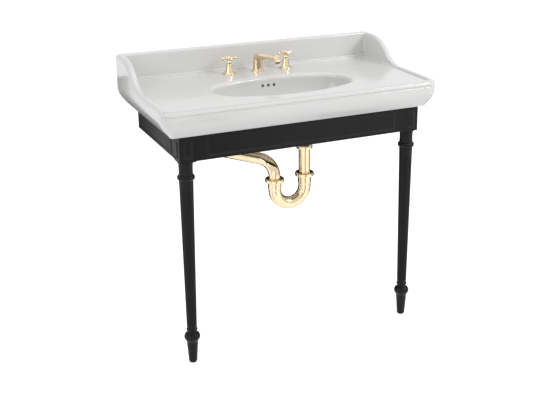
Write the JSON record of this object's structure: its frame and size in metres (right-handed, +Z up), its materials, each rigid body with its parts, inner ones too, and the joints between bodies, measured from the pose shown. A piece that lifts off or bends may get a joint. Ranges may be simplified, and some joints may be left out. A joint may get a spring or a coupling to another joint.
{
  "type": "console sink",
  "caption": "Wide ceramic console basin with winged splashback, oval bowl and brass taps, on a black frame with turned fluted front legs and a brass trap.",
  "frame": {"origin": "on the floor under the middle of the bounding box", "axes": "+X to the right as seen from the front, +Y back to the wall, +Z up"},
  "size_m": [0.914, 0.476, 0.904],
  "materials": {
    "glazed_white": "glossy white glaze",
    "black_lacquer": "satin black lacquer",
    "polished_brass": "polished",
    "raw_brass": "machined",
    "copper_tube": "drawn copper tube",
    "zinc_steel": "zinc plated",
    "beech": "plain beech",
    "rubber": "matt",
    "outlet_insert": "matt"
  },
  "bodies": {
    "console": {"basin": "glazed_white", "front_rail": "black_lacquer", "left_rail": "black_lacquer", "right_rail": "black_lacquer", "left_corner_block": "black_lacquer", "right_corner_block": "black_lacquer", "left_leg": "black_lacquer", "right_leg": "black_lacquer", "leg_studs": "zinc_steel", "left_wall_bracket": "zinc_steel", "right_wall_bracket": "zinc_steel", "bracket_screws": "zinc_steel", "rail_dowels": "beech", "basin_pads": "rubber", "left_foot_pad": "rubber", "right_foot_pad": "rubber", "hot_gasket": "rubber", "cold_gasket": "rubber", "spout_gasket": "rubber", "waste_gasket": "rubber", "trap_inlet_washer": "rubber", "trap_outlet_washer": "rubber", "hot_crossover_tube": "copper_tube", "cold_crossover_tube": "copper_tube", "hot_valve_body": "raw_brass", "cold_valve_body": "raw_brass", "hot_locknut": "raw_brass", "cold_locknut": "raw_brass", "spout_shank": "raw_brass", "spout_locknut": "raw_brass", "spout_tee": "raw_brass", "waste_locknut": "raw_brass", "hot_bell": "polished_brass", "cold_bell": "polished_brass", "spout": "polished_brass", "waste_body": "polished_brass", "coupling_nut": "polished_brass", "offset_elbow": "polished_brass", "tail_nut": "polished_brass", "tailpiece": "polished_brass", "trap_inlet_nut": "polished_brass", "j_bend": "polished_brass", "trap_outlet_nut": "polished_brass", "trap_arm": "polished_brass", "wall_flange": "polished_brass", "spout_aerator": "outlet_insert"},
    "hot_handle": {"hot_stem": "raw_brass", "hot_cross_handle": "polished_brass", "hot_index_button": "polished_brass"},
    "cold_handle": {"cold_stem": "raw_brass", "cold_cross_handle": "polished_brass", "cold_index_button": "polished_brass"},
    "plug": {"waste_plug": "polished_brass"}
  },
  "joints": [
    {"name": "hot_handle_turn", "type": "hinge", "parent": "console", "child": "hot_handle", "pos_m": [-0.1016, 0.162, 0.872], "axis": [0, 0, 1], "range_deg": [0, 90]},
    {"name": "cold_handle_turn", "type": "hinge", "parent": "console", "child": "cold_handle", "pos_m": [0.1016, 0.162, 0.872], "axis": [0, 0, 1], "range_deg": [-90, 0]},
    {"name": "plug_lift", "type": "slide", "parent": "console", "child": "plug", "axis": [0, 0, 1], "range_m": [0, 0.008]}
  ]
}
